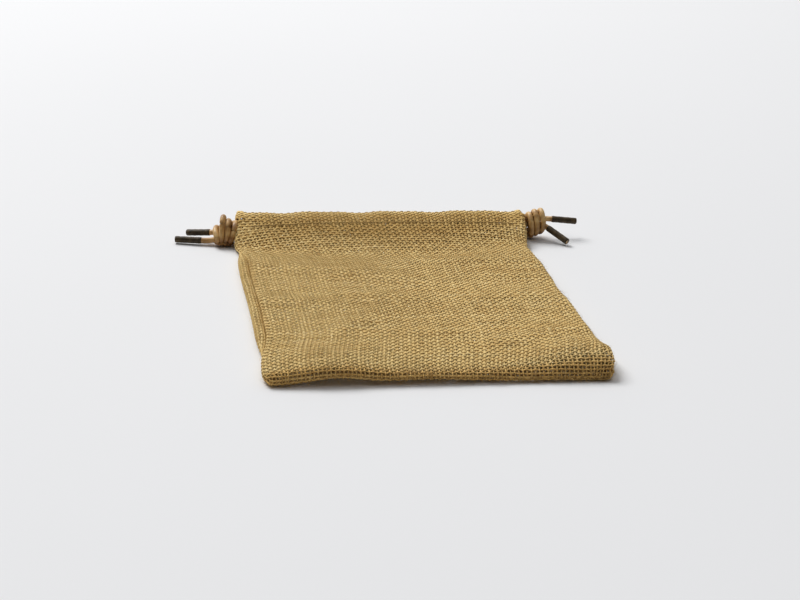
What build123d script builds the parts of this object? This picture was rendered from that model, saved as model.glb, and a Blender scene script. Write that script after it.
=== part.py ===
from build123d import *
import os
from math import hypot

# Drawstring gift pouch of woven jute, lying flat on its back.
# Millimetres. +X is the pouch's right, +Y runs from the folded bottom to the mouth, +Z is up.
# The origin is on the resting surface, under the middle of the pouch.

# ---------------------------------------------------------------- driving dimensions
POUCH_WIDTH = 150.0  # side seam to side seam
POUCH_LENGTH = 200.0  # folded bottom to mouth edge
CLOTH = 0.6  # thickness of the woven jute
CASING_DEPTH = 18.0  # mouth edge back to the casing's stitching edge
MOUTH_GAP = 4.2  # free height between the two channels
CORNER_PLAN_RADIUS = 7.0  # rounding of the two bottom corners, seen from above
SEAM_ALLOWANCE = 8.0  # cloth turned inside each side seam

CORD_DIA = 2.8
CHANNEL_PLAY = 0.2  # clearance all round a cord inside its channel
EXIT_PLAY = 0.3  # clearance all round a cord where it leaves the mouth's corner
CORD_LANE_SPACING = 4.0  # the two drawstrings run side by side
CORD_LANE_MIDDLE = 8.5  # mouth edge to the middle of the two lanes
TIP_DIA = 3.3
TIP_LENGTH = 13.5
TIP_END_WALL = 0.6
TIP_BORE_PLAY = 0.02

KNOT_HEIGHT = 16.2
KNOT_DEPTH = 11.4
KNOT_LENGTH = 9.8  # along the cords
KNOT_GAP = 0.4  # between a knot and the corner that it stops against

THREAD_DIA = 0.5
STITCH_PITCH = 3.4
STITCH_LENGTH = 2.6
OVERLOCK_PITCH = 4.0
OVERLOCK_REACH = 3.0

MOVING_GAP = 0.2  # between cloth that gathers and cloth that stays

# ---------------------------------------------------------------- derived dimensions
HALF_WIDTH = POUCH_WIDTH / 2
MOUTH_Y = POUCH_LENGTH / 2
BOTTOM_Y = -POUCH_LENGTH / 2
CASING_Y = MOUTH_Y - CASING_DEPTH
CHANNEL_HEIGHT = CORD_DIA + 2 * CHANNEL_PLAY
CASING_HEIGHT = CHANNEL_HEIGHT + 2 * CLOTH
MOUTH_HEIGHT = 2 * CASING_HEIGHT + MOUTH_GAP
FRONT_CASING_Z = CASING_HEIGHT + MOUTH_GAP
BODY_HEIGHT = FRONT_CASING_Z + CLOTH
SEAM_Z = BODY_HEIGHT / 2
BACK_CORD_Z = CASING_HEIGHT / 2
FRONT_CORD_Z = FRONT_CASING_Z + CASING_HEIGHT / 2
BIGHT_RADIUS = (FRONT_CORD_Z - BACK_CORD_Z) / 2
CORNER_RADIUS = MOUTH_HEIGHT / 2
CORNER_START = HALF_WIDTH - CORNER_RADIUS
LANE_MIDDLE_Y = MOUTH_Y - CORD_LANE_MIDDLE
LANE_Y = {"left": LANE_MIDDLE_Y - CORD_LANE_SPACING / 2, "right": LANE_MIDDLE_Y + CORD_LANE_SPACING / 2}
KNOT_INNER_X = HALF_WIDTH + KNOT_GAP
KNOT_X = KNOT_INNER_X + KNOT_LENGTH / 2
KNOT_OUTER_X = KNOT_INNER_X + KNOT_LENGTH
SIDES = {"left": -1, "right": 1}

# Each tail's route, from inside its knot to the closed end of its tip, as a list of points.
TAIL_ROUTES = {
    "left_upper": [(-82.4, 87.6, 6.4), (-86.4, 88.0, 6.0), (-99.8, 96.0, 3.4)],
    "left_lower": [(-83.0, 86.0, 3.6), (-88.0, 84.8, 2.6), (-106.0, 89.2, 2.1)],
    "right_upper": [(83.0, 92.4, 10.4), (86.6, 92.6, 10.3), (102.4, 93.6, 8.5)],
    "right_lower": [(81.4, 91.0, 8.4), (84.4, 89.6, 7.8), (94.9, 78.4, 2.2)],
}


# ---------------------------------------------------------------- the jute cloth
def pillow(inset):
    """The flat-lying body's closed outer shape, taken in by inset on every side but the mouth's."""
    height = BODY_HEIGHT - 2 * inset
    low, high = BOTTOM_Y + inset, CASING_Y + 30
    outline = Pos(0, (low + high) / 2) * Rectangle(POUCH_WIDTH - 2 * inset, high - low)
    corners = outline.vertices().sort_by(Axis.Y)[:2]
    outline = fillet(corners, CORNER_PLAN_RADIUS - inset)
    solid = Pos(0, 0, inset) * extrude(outline, height)
    ends = solid.faces().filter_by(Axis.Z)
    rims = [e for face in ends for e in face.edges() if e.center().Y < high - 1]
    solid = fillet(rims, height / 2 - 0.01)
    mouth_side = Pos(0, CASING_Y + 50, 0) * Box(400, 100, 100)
    return solid - mouth_side if inset == 0 else solid


def body_panels():
    """The front and back of the one folded cloth, which meet at the side seams and at the fold."""
    shell = pillow(0) - pillow(CLOTH)
    upper_half = Pos(0, 0, SEAM_Z + 50) * Box(400, 400, 100)
    lower_half = Pos(0, 0, SEAM_Z - 50) * Box(400, 400, 100)
    return shell & upper_half, shell & lower_half


def casing(base_z):
    """A cord channel: the cloth's edge folded over and stitched down, open at both ends."""
    fold_outer = CASING_HEIGHT / 2
    fold_inner = CHANNEL_HEIGHT / 2
    flat_end_y = MOUTH_Y - fold_outer
    stitched_y, ramp_y = CASING_Y + 2.8, CASING_Y + 6.6
    rise, run = CASING_HEIGHT - 2 * CLOTH, ramp_y - stitched_y
    slant = CLOTH * hypot(rise, run) / rise  # the ramp's thickness, measured along Y
    outer = [(CASING_Y, 0), (flat_end_y, 0), (flat_end_y, CASING_HEIGHT), (ramp_y, CASING_HEIGHT)]
    outer += [(stitched_y, 2 * CLOTH), (CASING_Y, 2 * CLOTH)]
    floor_y = stitched_y + slant - CLOTH * run / rise
    roof_y = ramp_y + slant - CLOTH * run / rise
    inner = [(floor_y, CLOTH), (flat_end_y, CLOTH), (flat_end_y, CLOTH + CHANNEL_HEIGHT)]
    inner += [(roof_y, CLOTH + CHANNEL_HEIGHT)]
    section = Polygon(*outer, align=None) + Pos(flat_end_y, fold_outer) * Circle(fold_outer)
    section -= Polygon(*inner, align=None) + Pos(flat_end_y, fold_outer) * Circle(fold_inner)
    length = 2 * (CORNER_START - MOVING_GAP)
    plane = Plane(origin=(-length / 2, 0, base_z), x_dir=(0, 1, 0), z_dir=(1, 0, 0))
    return extrude(plane * section, length)


def mouth_corner(side):
    """The rounded end of the mouth over a side seam, with holes for the cord that is knotted there."""
    depth = CASING_DEPTH - MOVING_GAP
    centre = Pos(CORNER_START, MOUTH_Y - depth / 2, MOUTH_HEIGHT / 2) * Rot(90, 0, 0)
    corner = centre * Cylinder(CORNER_RADIUS, depth) - centre * Cylinder(CORNER_RADIUS - CLOTH, depth + 2)
    corner -= Pos(CORNER_START - 50, MOUTH_Y, MOUTH_HEIGHT / 2) * Box(100, 100, 100)
    hole = Rot(0, 90, 0) * Cylinder(CORD_DIA / 2 + EXIT_PLAY, 3 * CORNER_RADIUS)
    lane = "right" if side > 0 else "left"
    for cord_z in (BACK_CORD_Z, FRONT_CORD_Z):
        corner -= Pos(CORNER_START, LANE_Y[lane], cord_z) * hole
    return corner if side > 0 else mirror(corner, Plane.YZ)


def seam_allowance(side):
    """The two cloth edges inside a side seam, lying together and pointing into the pouch."""
    outer_x = HALF_WIDTH - CLOTH - 0.1
    low_y = BOTTOM_Y + CORNER_PLAN_RADIUS
    strip = Box(SEAM_ALLOWANCE, CASING_Y - low_y, 2 * CLOTH)
    return Pos(side * (outer_x - SEAM_ALLOWANCE / 2), (CASING_Y + low_y) / 2, SEAM_Z) * strip


# ---------------------------------------------------------------- the sewing threads
def stitch(axis):
    """One visible stitch of the sewing thread, with rounded ends."""
    turn = Rot(0, 90, 0) if axis == "x" else Rot(90, 0, 0)
    bar = Cylinder(THREAD_DIA / 2, STITCH_LENGTH - THREAD_DIA)
    ends = [Pos(0, 0, s * (STITCH_LENGTH - THREAD_DIA) / 2) * Sphere(THREAD_DIA / 2) for s in (-1, 1)]
    return turn * (bar + ends[0] + ends[1])


def row_of(piece, start, end, pitch):
    """Copies of a piece evenly spaced between two points, all in one group."""
    start, end = Vector(*start), Vector(*end)
    count = int((end - start).length / pitch)
    step = (end - start) / count
    return Compound(children=[Pos(start + step * (n + 0.5)) * piece for n in range(count)])


def casing_stitching(base_z):
    """The row that holds the turned-in edge down, seen on the upper face of the cloth."""
    z = base_z + 2 * CLOTH + THREAD_DIA / 2
    y = CASING_Y + 1.4
    reach = CORNER_START - 2
    return row_of(stitch("x"), (-reach, y, z), (reach, y, z), STITCH_PITCH)


def side_seam_stitching(side):
    """The lockstitch that closes a side seam: one row on each face of the seam allowance."""
    x = side * (HALF_WIDTH - 2.4)
    low_y, high_y = BOTTOM_Y + CORNER_PLAN_RADIUS + 1, CASING_Y - 1
    rows = []
    for face in (-1, 1):
        z = SEAM_Z + face * (CLOTH + THREAD_DIA / 2)
        rows += row_of(stitch("y"), (x, low_y, z), (x, high_y, z), STITCH_PITCH).children
    return Compound(children=list(rows))


def overlock(side):
    """Thread bound round the raw edge of a seam allowance, so that the jute doesn't fray."""
    outside = Box(OVERLOCK_REACH + THREAD_DIA, THREAD_DIA, 2 * CLOTH + 2 * THREAD_DIA)
    loop = outside - Pos(THREAD_DIA, 0, 0) * Box(OVERLOCK_REACH + THREAD_DIA, 1, 2 * CLOTH)
    edge_x = HALF_WIDTH - CLOTH - 0.1 - SEAM_ALLOWANCE
    loop = Pos(edge_x + (OVERLOCK_REACH - THREAD_DIA) / 2, 0, SEAM_Z) * loop
    loop = loop if side > 0 else mirror(loop, Plane.YZ)
    low_y, high_y = BOTTOM_Y + CORNER_PLAN_RADIUS + 1, CASING_Y - 1
    return row_of(loop, (0, low_y, 0), (0, high_y, 0), OVERLOCK_PITCH)


# ---------------------------------------------------------------- the drawstrings
def drawstring(side, lane):
    """One cord's loop: out of its knot, along the front channel, round the far seam and back."""
    y = LANE_Y[lane]
    knot_x = side * KNOT_X
    turn_x = -side * CORNER_START
    far_x = turn_x - side * BIGHT_RADIUS
    front = Line((knot_x, y, FRONT_CORD_Z), (turn_x, y, FRONT_CORD_Z))
    middle_z = (FRONT_CORD_Z + BACK_CORD_Z) / 2
    bight = ThreePointArc((turn_x, y, FRONT_CORD_Z), (far_x, y, middle_z), (turn_x, y, BACK_CORD_Z))
    back = Line((turn_x, y, BACK_CORD_Z), (knot_x, y, BACK_CORD_Z))
    path = Wire([front, bight, back])
    section = Plane(origin=path @ 0, z_dir=path % 0) * Circle(CORD_DIA / 2)
    print(lane, "drawstring: bight radius", BIGHT_RADIUS, "length", round(path.length, 1))
    return sweep(section, path)


def knot(side, lane):
    """The overhand knot that joins a cord's two ends: two wraps round a core."""
    wrap_dia = KNOT_LENGTH / 2
    half_y, half_z = (KNOT_DEPTH - wrap_dia) / 2, (KNOT_HEIGHT - wrap_dia) / 2
    bend = half_y - 0.05
    y, z = LANE_Y[lane], KNOT_HEIGHT / 2
    solid = Pos(side * KNOT_X, y, z) * Box(KNOT_LENGTH - wrap_dia, 2 * half_y, 2 * half_z)
    for x in (KNOT_INNER_X + wrap_dia / 2, KNOT_OUTER_X - wrap_dia / 2):
        plane = Plane(origin=(side * x, y, z), x_dir=(0, 1, 0), z_dir=(1, 0, 0))
        loop = fillet(Rectangle(2 * half_y, 2 * half_z).vertices(), bend)
        route = (plane * loop).wires()[0]
        section = Plane(origin=route @ 0, z_dir=route % 0) * Circle(wrap_dia / 2)
        solid += sweep(section, route)
    return solid


def arc_radius(before, corner, after):
    """The largest tangent arc that the two runs beside a corner allow."""
    first, second = corner - before, after - corner
    half_turn = first.get_angle(second) / 2
    return 0.45 * min(first.length, second.length) / tan_degrees(half_turn)


def tan_degrees(angle):
    """Tangent of an angle given in degrees."""
    direction = Vector(1, 0).rotate(Axis.Z, angle)
    return direction.Y / direction.X


def tail(name):
    """A cord's free end: it leaves the knot and runs into its tip's bore."""
    points = [Vector(*p) for p in TAIL_ROUTES[name]]
    last_run = points[-1] - points[-2]
    cord_end = points[-1] - last_run.normalized() * (TIP_END_WALL + TIP_BORE_PLAY)
    radius = arc_radius(*points)
    path = Wire(FilletPolyline(points[0], points[1], cord_end, radius=[radius]).edges())
    section = Plane(origin=path @ 0, z_dir=path % 0) * Circle(CORD_DIA / 2)
    solid = sweep(section, path)
    ideal = section.area * path.length
    print(name, "tail: radius", round(radius, 1), "volume ratio", round(solid.volume / ideal, 3))
    return solid


def tip(name):
    """The dark sleeve closed over a cord's end."""
    before, end = [Vector(*p) for p in TAIL_ROUTES[name][-2:]]
    axis = Plane(origin=end, z_dir=before - end)
    sleeve = fillet(Cylinder(TIP_DIA / 2, TIP_LENGTH).edges().sort_by(Axis.Z)[0], 0.3)
    bore_length = TIP_LENGTH - TIP_END_WALL
    bore = Pos(0, 0, TIP_END_WALL / 2) * Cylinder(CORD_DIA / 2 + TIP_BORE_PLAY, bore_length)
    return axis * (Pos(0, 0, TIP_LENGTH / 2) * (sleeve - bore))


# ---------------------------------------------------------------- the assembly
def pouch_nodes():
    """Every node's shape under its name."""
    front, back = body_panels()
    nodes = {"front_panel": front, "back_panel": back}
    nodes["front_casing"] = casing(FRONT_CASING_Z)
    nodes["back_casing"] = casing(0)
    nodes["front_casing_stitching"] = casing_stitching(FRONT_CASING_Z)
    nodes["back_casing_stitching"] = casing_stitching(0)
    for name, side in SIDES.items():
        nodes[f"{name}_mouth_corner"] = mouth_corner(side)
        nodes[f"{name}_seam_allowance"] = seam_allowance(side)
        nodes[f"{name}_seam_stitching"] = side_seam_stitching(side)
        nodes[f"{name}_seam_overlock"] = overlock(side)
        nodes[f"{name}_drawstring"] = drawstring(side, name)
        nodes[f"{name}_knot"] = knot(side, name)
    for name in TAIL_ROUTES:
        nodes[f"{name}_tail"] = tail(name)
        nodes[f"{name}_cord_tip"] = tip(name)
    return nodes


os.makedirs("parts", exist_ok=True)
for node, shape in pouch_nodes().items():
    export_step(shape, f"parts/{node}.step")
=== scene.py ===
import bpy
import numpy as np
from functools import partial
from math import pi, radians, sin, cos
from mathutils import Matrix, Vector


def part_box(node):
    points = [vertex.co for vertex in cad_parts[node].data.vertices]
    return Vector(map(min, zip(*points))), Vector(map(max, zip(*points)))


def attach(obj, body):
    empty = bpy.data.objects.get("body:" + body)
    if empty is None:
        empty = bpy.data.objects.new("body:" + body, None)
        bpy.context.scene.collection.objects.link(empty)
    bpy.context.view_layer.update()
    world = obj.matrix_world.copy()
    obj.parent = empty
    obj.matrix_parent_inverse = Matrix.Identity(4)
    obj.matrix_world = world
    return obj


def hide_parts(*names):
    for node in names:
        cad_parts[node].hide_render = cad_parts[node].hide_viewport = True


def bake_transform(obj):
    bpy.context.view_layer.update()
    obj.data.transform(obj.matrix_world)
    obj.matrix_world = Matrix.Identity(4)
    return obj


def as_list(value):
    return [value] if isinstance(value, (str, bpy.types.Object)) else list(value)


# The looks of a jute drawstring pouch that lies flat on its back.
# The cloth is woven yarn by yarn. Shapes are worked out in millimetres, in the shared frame,
# and turned into metres as each mesh or curve is made.
# Along the cloth, "across" is measured from the left seam to the right one, and "along"
# from the bottom fold to the mouth edge and on into the turned-in hem.

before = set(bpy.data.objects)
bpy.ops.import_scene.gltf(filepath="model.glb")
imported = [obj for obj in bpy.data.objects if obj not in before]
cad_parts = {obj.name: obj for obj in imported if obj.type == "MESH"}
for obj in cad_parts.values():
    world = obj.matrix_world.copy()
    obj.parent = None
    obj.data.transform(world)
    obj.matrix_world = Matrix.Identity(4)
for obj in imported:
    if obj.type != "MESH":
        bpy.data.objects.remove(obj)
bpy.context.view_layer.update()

MM = 0.001


def box_mm(node):
    """A CAD node's lowest and highest corners, in millimetres."""
    low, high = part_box(node)
    return np.array(low) / MM, np.array(high) / MM


def new_object(name, data):
    """A new object, in the scene."""
    made = bpy.data.objects.new(name, data)
    bpy.context.scene.collection.objects.link(made)
    return made


# -------- sizes from the frame
PANEL_LOW, PANEL_HIGH = box_mm("front_panel")
CASING_LOW, CASING_HIGH = box_mm("front_casing")
BACK_CASING_LOW, BACK_CASING_HIGH = box_mm("back_casing")
HALF_WIDTH = PANEL_HIGH[0]
BOTTOM_Y = PANEL_LOW[1]
CASING_Y = CASING_LOW[1]
MOUTH_Y = CASING_HIGH[1]
MOUTH_TOP = CASING_HIGH[2]

# -------- sizes of the weave
WARPS = 87  # threads across the pouch
CUT_WIDTH = 2 * HALF_WIDTH  # seam to seam, on the flat cloth
PITCH = CUT_WIDTH / WARPS
YARN_HALF_WIDTH = 0.335 * PITCH
YARN_HALF_THICKNESS = 0.20
WARP_FULLNESS = 0.9
WEFT_FULLNESS = 1.08
WARP_CRIMP = 0.08  # how far a yarn rises and falls from the middle of the cloth
WEFT_CRIMP = 0.33
RINGS = 3  # rings of points for each crossing
SIDES = 5
# How much thinner or fuller the yarns are in places, as a share of their size.
THIN_AT_FOLD = 0.40
FULL_ON_RIGHT = 0.09
FULL_IN_CHANNEL = 0.15
FULL_AT_MOUTH = 0.2
FULL_AT_CORNERS = 0.3
# Where those changes come and go, along the cloth (S) and across it (A).
THIN_FROM_S = 3
THIN_TO_S = (12, 26)  # at the left and at the right
THIN_TO_RIGHT_A = (90, 135)
RIGHT_A = (50, 95)
RIGHT_S = (100, 120)
CHANNEL_S = (176, 186)
MOUTH_S = (196, 200, 210, 214)
NEAR_SEAM_A = (9, 16)
CLOTH_HALF = YARN_HALF_THICKNESS + WEFT_CRIMP
REST = CLOTH_HALF + 0.04  # the middle of a cloth that lies on the ground
SEAM_ALLOWANCE = 8.0
FIBRES = {"front": 4200, "back": 900}
WEAVE_SEED = {"front": 5, "back": 6}
FIBRE_SEED = {"front": 31, "back": 32}
ALLOWANCE_SEED = 20

# -------- the lie of the cloth
FOLD_Y = BOTTOM_Y + 4.0  # about where the front and the back meet the bottom fold
TO_MOUTH = 2 * HALF_WIDTH + 52.0  # the cloth from the bottom fold's nose to the mouth edge
CREST_LEVEL = MOUTH_TOP - CLOTH_HALF + 0.15
CREST_Y = MOUTH_Y - 6.0
FOOT_Y = MOUTH_Y - 46.0  # from here the front cloth rises to the crest over the cords
FOOT_RISE = 17.0  # and at the sides from this much further up
BODY_LEVEL = 6.2
SIDE_TILT = 0.9
NECK_DIP = 1.9  # the hollow at that foot
NECK_WIDTH = 11.0
UNEVEN = 0.15  # height of the small bumps all over the front
# Waves along the mouth edge: height, length per radian and start. RIPPLE_LEVEL is their middle.
RIPPLES = [(0.34, 6.3, 0.6), (0.2, 3.1, 2.0)]
RIPPLE_LEVEL = 0.3

# Soft wrinkles: middle X and Y, half length, half width, height, slope and bend of the crest line.
WRINKLES = [
    (-30, 27, 44, 8.0, 1.5, -0.33, 0.0),
    (53, 36, 24, 6.0, 1.3, -0.15, 0.0),
    (57, 14, 19, 5.5, 1.1, -0.10, 0.0),
    (-55, -13, 24, 7.0, 1.3, -0.30, 0.0),
    (-12, -9, 19, 6.0, 1.0, -0.20, 0.0),
    (-27, -40, 15, 11.0, 1.7, 1.00, 0.0),
    (50, -11, 29, 9.0, 1.5, 0.00, -0.02),
    (52, -62, 27, 6.5, 1.3, 0.35, 0.0),
    (-46, -80, 22, 7.0, 0.6, 0.00, 0.0),
    (5, -55, 16, 7.0, 0.6, -0.10, 0.0),
    (66, -82, 22, 15.0, 2.2, 0.00, 0.0),
]
FRONT_LEVEL = 4.6
CORNER_ROUND = 3.0  # how far the bottom corners are rounded off, seen from above
CORNER_REACH = 6.0  # the right end of the bottom fold is this much deeper
CORNER_FROM = (92, 142)  # across the cloth, where the right end's own nose sets in
NOSE_SHARE = (0.32, 0.06)  # height of the fold nose in its opening, at the left and the right end
NOSE_MOST = 4.5  # the fold's depth levels off here
# Bumps: middle, half width and height. The first two rows lie along X, the others along Y.
FRONT_BULGES = [(-46, 20, 3.1), (69, 24, 3.8)]
LIFT_BULGES = [(-44, 15, 2.7), (-6, 25, 1.9)]
LEFT_OUT = [(40, 45, 1.9), (76, 10, 1.3)]
RIGHT_DRAWN_IN = [(52, 28, 3.4), (2, 28, 2.2)]
RIGHT_OUT = [(-77, 16, 2.7)]
FRONT_REACH = 42.0  # how far in the front edge's own height is felt
LIFT_REACH = 24.0

SIDE_ROUNDING = 2.2  # the most that a side edge is rounded
LEFT_ROLL_RADIUS = 2.1  # the back cloth comes up round the left edge
LEFT_ROLL_TURN = radians(80)
ROLL_STARTS = (-92, -48)  # Y
ROLL_ENDS = (46, 86)
ROLL_WIDTH_LOST = 2.2
RIGHT_UNDER = 2.0  # the front cloth goes this far under the right edge

MOUTH_FOLD = {"front": 2.4, "back": 2.3}  # radius of the fold at the mouth edge
CORNER_A = (7.4, 9.4)  # the mouth's rounded ends stop here, from each seam
CORNER_FOLD = 0.45  # radius of the fold there
CORNER_HEM = 3.6  # the hem's length there
HEM_INSET = 8.6  # the channel's inner cloth stops this far from each side seam
HEM_END_Y = CASING_Y + 0.4
HEM_CLOSED = 1.05  # the gap between cloth and hem where they are stitched together
STITCH_ROW_Y = CASING_Y + 1.4
STITCH_PITCH = 3.4
STITCH_LENGTH = 2.6
THREAD_RADIUS = 0.25
SEAM_ROW_IN = 2.0  # the seam's stitching, from the seam
OVERLOCK_PITCH = 4.0
OVERLOCK_REACH = 3.0
OVERLOCK_SLANT = 1.2
ALLOWANCE_LOW_Y = BOTTOM_Y + 8.0
ALLOWANCE_RISE = 1.7  # how far the right one stands up inside
FIBRE_RADIUS = 0.035


def smooth(low, high, v):
    """From 0 at low to 1 at high, with a soft start and end."""
    t = np.clip((v - low) / (high - low), 0, 1)
    return t * t * (3 - 2 * t)


def mix(a, b, share):
    """a where share is 0 and b where it is 1."""
    return a + (b - a) * share


def bulges(v, rows):
    """Rounded bumps side by side along X or Y."""
    return sum(height * np.exp(-(((v - middle) / width) ** 2)) for middle, width, height in rows)


def wrinkle(x, y, middle_x, middle_y, half_length, half_width, height, slope, bend):
    """One soft ridge in the cloth."""
    along = x - middle_x
    off = (y - middle_y - slope * along - bend * along**2) / half_width
    return height * np.exp(-((along / half_length) ** 4) - off**2)


def ground(x, y):
    """Middle of the back cloth's thickness: on the ground, but lifted along parts of the front edge."""
    return REST + bulges(x, LIFT_BULGES) * (1 - smooth(FOLD_Y, FOLD_Y + LIFT_REACH, y))


def ripples(x):
    """Small waves along the mouth edge, where the drawstrings have gathered the cloth before."""
    return RIPPLE_LEVEL + sum(height * np.sin(x / length + start) for height, length, start in RIPPLES)


def top_height(x, y):
    """Middle of the front cloth's thickness, away from the side edges."""
    level = BODY_LEVEL + SIDE_TILT * x / HALF_WIDTH
    level = level + UNEVEN * np.sin(x / 6.1 + y / 9.0) * np.sin(y / 5.3 - x / 17.0)
    front = FRONT_LEVEL + bulges(x, FRONT_BULGES)
    level = mix(front, level, smooth(FOLD_Y, FOLD_Y + FRONT_REACH, y))
    level = level + sum(wrinkle(x, y, *row) for row in WRINKLES)
    foot = FOOT_Y + FOOT_RISE * (x / HALF_WIDTH) ** 2
    level = level - NECK_DIP * np.exp(-(((y - foot) / NECK_WIDTH) ** 2))
    crest = CREST_LEVEL + ripples(x) * smooth(CASING_Y - 10, MOUTH_Y, y)
    return mix(level, crest, smooth(foot, CREST_Y, y))


def left_edge(y):
    """X of the pouch's left outline."""
    return -HALF_WIDTH - bulges(y, LEFT_OUT) - half_rolled(y) + CLOTH_HALF


def right_edge(y):
    """X of the pouch's right outline, drawn in below the mouth."""
    out = bulges(y, RIGHT_OUT) - bulges(y, RIGHT_DRAWN_IN)
    return HALF_WIDTH + out + half_rolled(y) - CLOTH_HALF


def rolled(y):
    """How far the side seams have rolled off the side edges: 0 at the mouth and the fold."""
    return smooth(*ROLL_STARTS, y) * (1 - smooth(*ROLL_ENDS, y))


def half_rolled(y):
    """Makes up for the width lost where a section is part straight and part rolled."""
    return ROLL_WIDTH_LOST * rolled(y) * (1 - rolled(y))


def side_turn(b, r):
    """A side edge of half height r, b along from its seam: its height, inset and own lengths."""
    rounding = np.minimum(r, SIDE_ROUNDING)
    wall = r - rounding
    angle = np.clip((b - wall) / rounding, 0, pi / 2)
    rise = np.clip(b, -0.4, wall) + rounding * np.sin(angle)
    return rise / r, rounding * (1 - np.cos(angle)), rounding, wall + rounding * pi / 2


def straight_section(sheet, a, y, left, right, r1, r2):
    """X and Z of a cross-section with its seams at the outermost points."""
    _, _, rounding1, turn1 = side_turn(0, r1)
    _, _, rounding2, turn2 = side_turn(0, r2)
    flat = right - left - rounding1 - rounding2
    total = turn1 + flat + turn2
    b = a / CUT_WIDTH * total
    rise1, inset1, _, _ = side_turn(b, r1)
    rise2, inset2, _, _ = side_turn(total - b, r2)
    x = left + inset1 + np.clip(b - turn1, 0, flat) + rounding2 - inset2
    top, low = top_height(x, y), ground(x, y)
    side = 1 if sheet == "front" else -1
    return x, (top + low) / 2 + side * rise1 * rise2 * (top - low) / 2


def rolled_front(a, y, left, right, r2):
    """X and Z of the front cloth, from a seam on top at the left to one underneath at the right."""
    seam_x = left + LEFT_ROLL_RADIUS * (1 + sin(LEFT_ROLL_TURN))
    seam_z = REST + LEFT_ROLL_RADIUS * (1 + cos(LEFT_ROLL_TURN))
    flat = right - r2 - seam_x
    b = a / CUT_WIDTH * (flat + pi * r2 + RIGHT_UNDER)
    turn = np.clip((b - flat) / r2, 0, pi)
    x = seam_x + np.minimum(b, flat) + r2 * np.sin(turn) - np.maximum(b - flat - pi * r2, 0)
    top, low = top_height(x, y), ground(x, y)
    z = (top + low) / 2 + np.cos(turn) * (top - low) / 2
    return x, mix(seam_z, z, smooth(-1.2, 3.0, b))


def rolled_back(a, y, left, right, r2):
    """X and Z of the back cloth, which comes up round the left edge to its seam."""
    radius = LEFT_ROLL_RADIUS
    arc = radius * (pi + LEFT_ROLL_TURN)
    flat = right - r2 - RIGHT_UNDER - left - radius
    b = a / CUT_WIDTH * (arc + flat)
    turn = np.clip(b / radius, -0.3, pi + LEFT_ROLL_TURN) - LEFT_ROLL_TURN
    x = left + radius * (1 - np.sin(turn)) + np.maximum(b - arc, 0)
    return x, ground(x, y) + radius * (1 + np.cos(turn))


def outer(sheet, a, y):
    """X and Z of the outer layer of cloth."""
    left, right = left_edge(y), right_edge(y)
    r1 = (top_height(left + 5, y) - ground(left + 5, y)) / 2
    r2 = (top_height(right - 5, y) - ground(right - 5, y)) / 2
    x, z = straight_section(sheet, a, y, left, right, r1, r2)
    if sheet == "front":
        x2, z2 = rolled_front(a, y, left, right, r2)
    else:
        x2, z2 = rolled_back(a, y, left, right, r2)
    share = rolled(y)
    return mix(x, x2, share), mix(z, z2, share)


def inward(sheet, a, y):
    """X and Z of the direction from the outer layer towards the inside of the pouch."""
    step = 0.4
    x1, z1 = outer(sheet, a - step, y)
    x2, z2 = outer(sheet, a + step, y)
    length = np.hypot(x2 - x1, z2 - z1)
    side = 1 if sheet == "front" else -1
    return side * (z2 - z1) / length, -side * (x2 - x1) / length


def near_corner(a):
    """0 along the casing and 1 at the rounded ends of the mouth."""
    return 1 - smooth(*CORNER_A, np.minimum(a, CUT_WIDTH - a))


def fold_ends(a, y):
    """Where the front and the back leave the bottom fold, and half the height between them."""
    x1, z1 = outer("front", a, y)
    x2, z2 = outer("back", a, y)
    return (x1, z1), (x2, z2), np.hypot(x1 - x2, z1 - z2) / 2


def bottom_fold(sheet, a):
    """The fold at a: a sheet's end, the nose's X and Z, its depth and the sheet's arc to it."""
    half = fold_ends(a, np.full_like(a, FOLD_Y))[2]
    to_right = smooth(*CORNER_FROM, a)
    deeper = CORNER_REACH * to_right * smooth(0, 2, half)
    nose = 0.5 + half / np.sqrt(1 + (half / NOSE_MOST) ** 2) + deeper
    start_y = BOTTOM_Y + CLOTH_HALF + nose
    front_end, back_end, half = fold_ends(a, start_y)
    up = mix(*NOSE_SHARE, to_right)
    nose_x, nose_z = (mix(low, high, up) for low, high in zip(back_end, front_end))
    own = front_end if sheet == "front" else back_end
    rise = np.hypot(own[0] - nose_x, own[1] - nose_z)
    return own, (nose_x, nose_z), start_y, nose, pi / 2 * np.sqrt((rise**2 + nose**2) / 2)


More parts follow.
